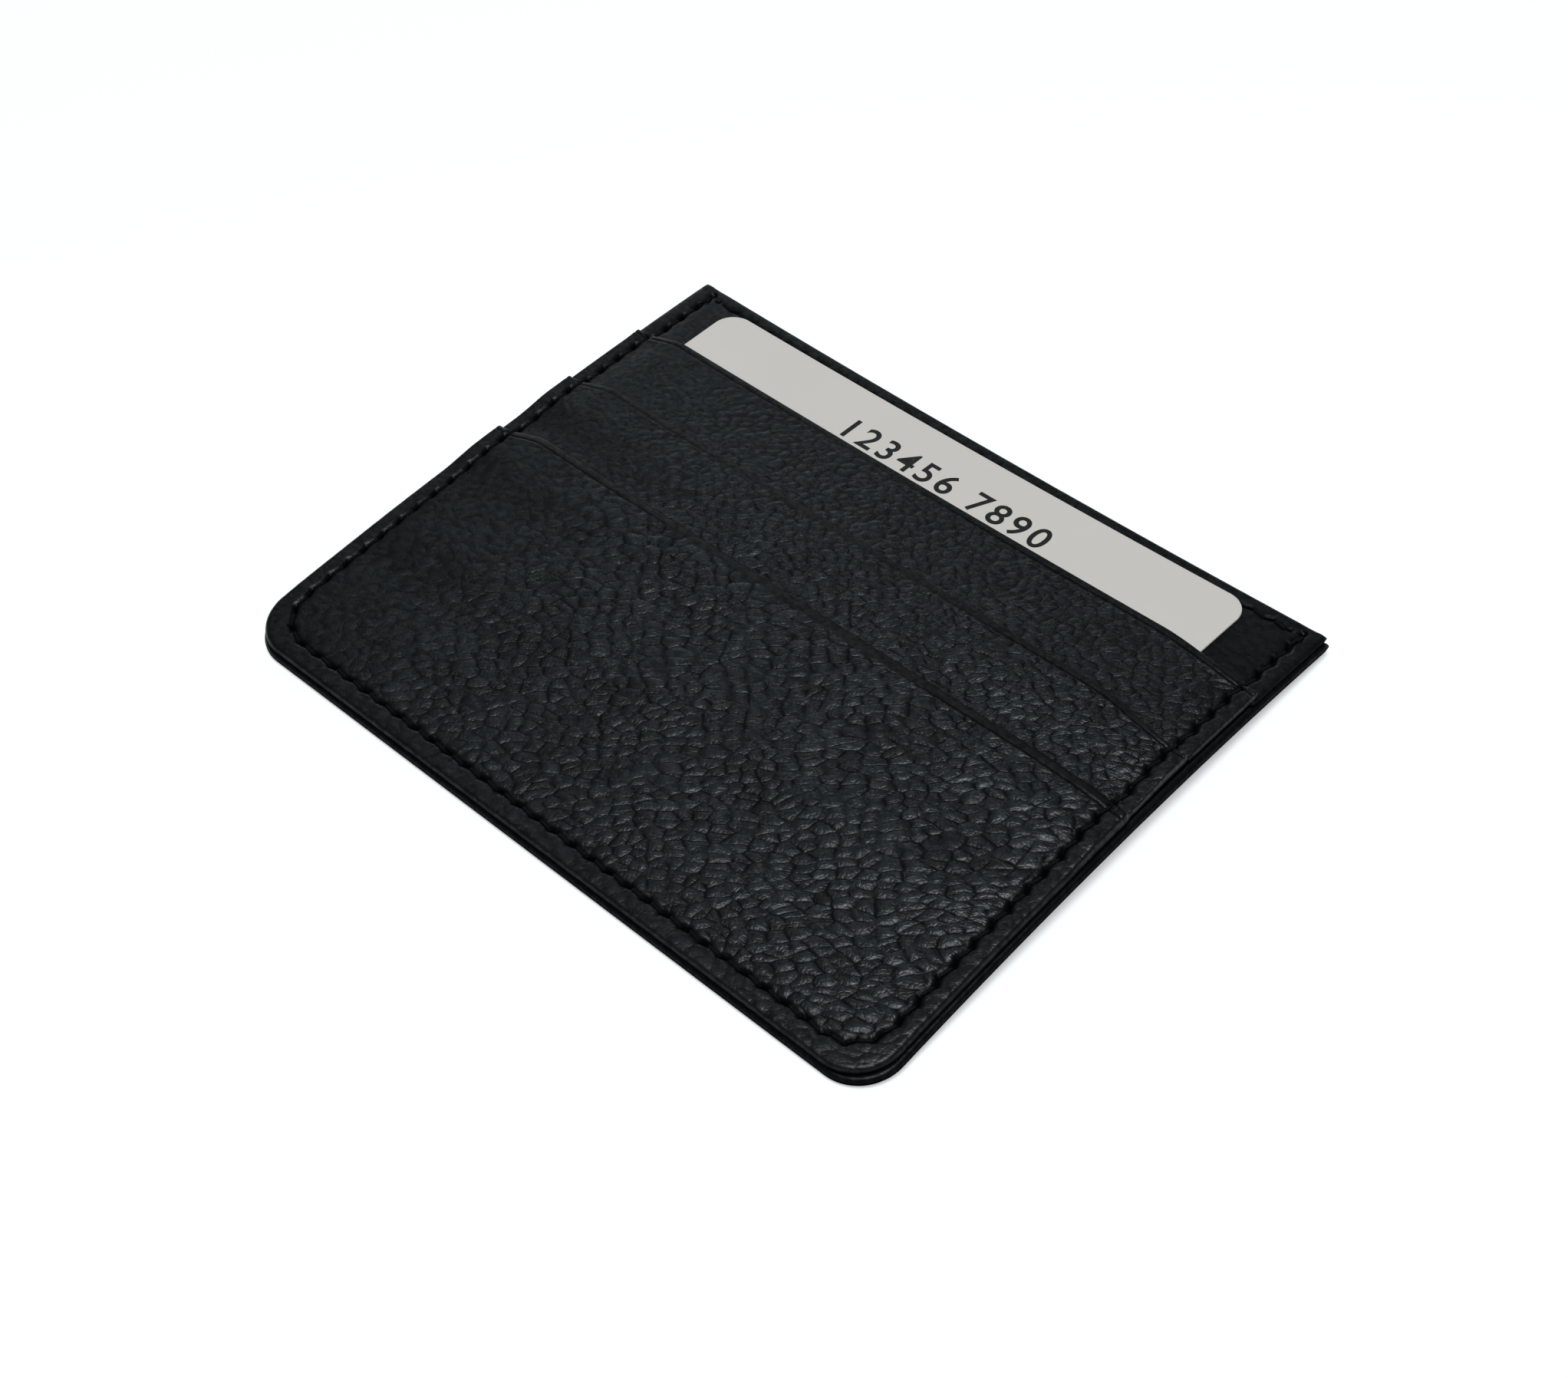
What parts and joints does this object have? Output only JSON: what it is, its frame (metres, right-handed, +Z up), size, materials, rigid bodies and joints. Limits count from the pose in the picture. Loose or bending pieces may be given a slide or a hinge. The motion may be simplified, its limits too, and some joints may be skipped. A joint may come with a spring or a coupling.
{
  "type": "card holder",
  "caption": "Slim leather card holder with stepped front pockets, a central compartment and a blank card that slides out of the top pocket.",
  "frame": {"origin": "centre of the resting face: the middle of the footprint, on the surface that the holder lies on", "axes": "+X along the pocket mouths, +Y from the closed bottom edge to the open mouth edge, +Z up out of the front face"},
  "size_m": [0.103, 0.082, 0.0041],
  "materials": {
    "leather": "pebble-grain black leather, soft satin sheen",
    "lining": "fine black woven lining",
    "board": "fibre stiffening board, matt",
    "thread": "black twisted polyester thread",
    "card": "off-white card, satin"
  },
  "bodies": {
    "holder": {"back_panel_leather": "leather", "back_board": "board", "back_compartment_lining": "lining", "front_compartment_lining": "lining", "front_board": "board", "front_backing_leather": "leather", "left_edge_filler": "board", "right_edge_filler": "board", "top_pocket_lining": "lining", "top_pocket_leather": "leather", "middle_pocket_lining": "lining", "middle_pocket_leather": "leather", "bottom_pocket_leather": "leather", "outer_seam_needle_thread": "thread", "outer_seam_bobbin_thread": "thread", "front_hem_thread": "thread", "back_hem_thread": "thread", "top_pocket_base_thread": "thread", "middle_pocket_base_thread": "thread"},
    "card": {"blank_card": "card"}
  },
  "joints": [
    {"name": "card_slide", "type": "slide", "parent": "holder", "child": "card", "axis": [0, 1, 0], "range_m": [0, 0.045]}
  ]
}
